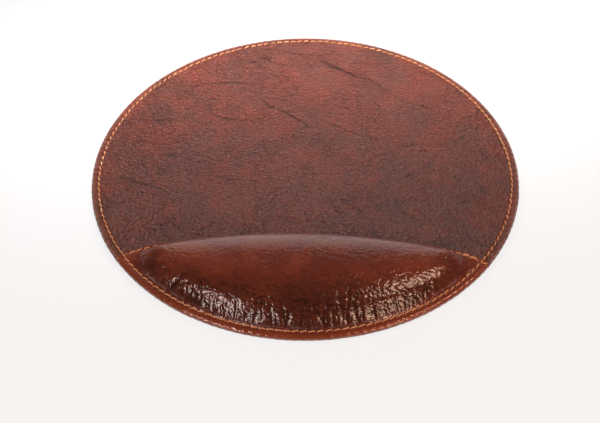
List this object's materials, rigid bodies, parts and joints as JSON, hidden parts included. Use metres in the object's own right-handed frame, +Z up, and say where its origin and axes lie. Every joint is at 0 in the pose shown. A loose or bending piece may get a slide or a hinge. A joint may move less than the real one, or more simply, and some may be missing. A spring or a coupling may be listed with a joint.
{
  "type": "mouse pad",
  "caption": "Round leather mouse pad with a rolled edge, contrast stitching and a padded crescent wrist rest sewn into its near side.",
  "frame": {"origin": "middle of the round underside, on the desk", "axes": "+Z up from the desk, +Y away from the user, +X to the user's right"},
  "size_m": [0.24, 0.24, 0.0177],
  "materials": {
    "suede": "napped split leather, matte",
    "infill": "bonded fibre sheet, matte",
    "board": "pressed fibre board, raw",
    "waxed_leather": "waxed full-grain leather, semi-matte, mottled",
    "foam": "open-cell cushion foam, matte",
    "polished_leather": "waxed full-grain leather, polished",
    "thread": "waxed twisted sewing thread, satin"
  },
  "bodies": {
    "root": {"base_sheet": "suede", "infill_sheet": "infill", "core_board": "board", "mouse_panel": "waxed_leather", "wrist_rest_foam": "foam", "wrist_rest_cover": "polished_leather", "edge_needle_thread": "thread", "edge_bobbin_thread": "thread", "rest_needle_thread": "thread", "rest_bobbin_thread": "thread"}
  },
  "joints": []
}
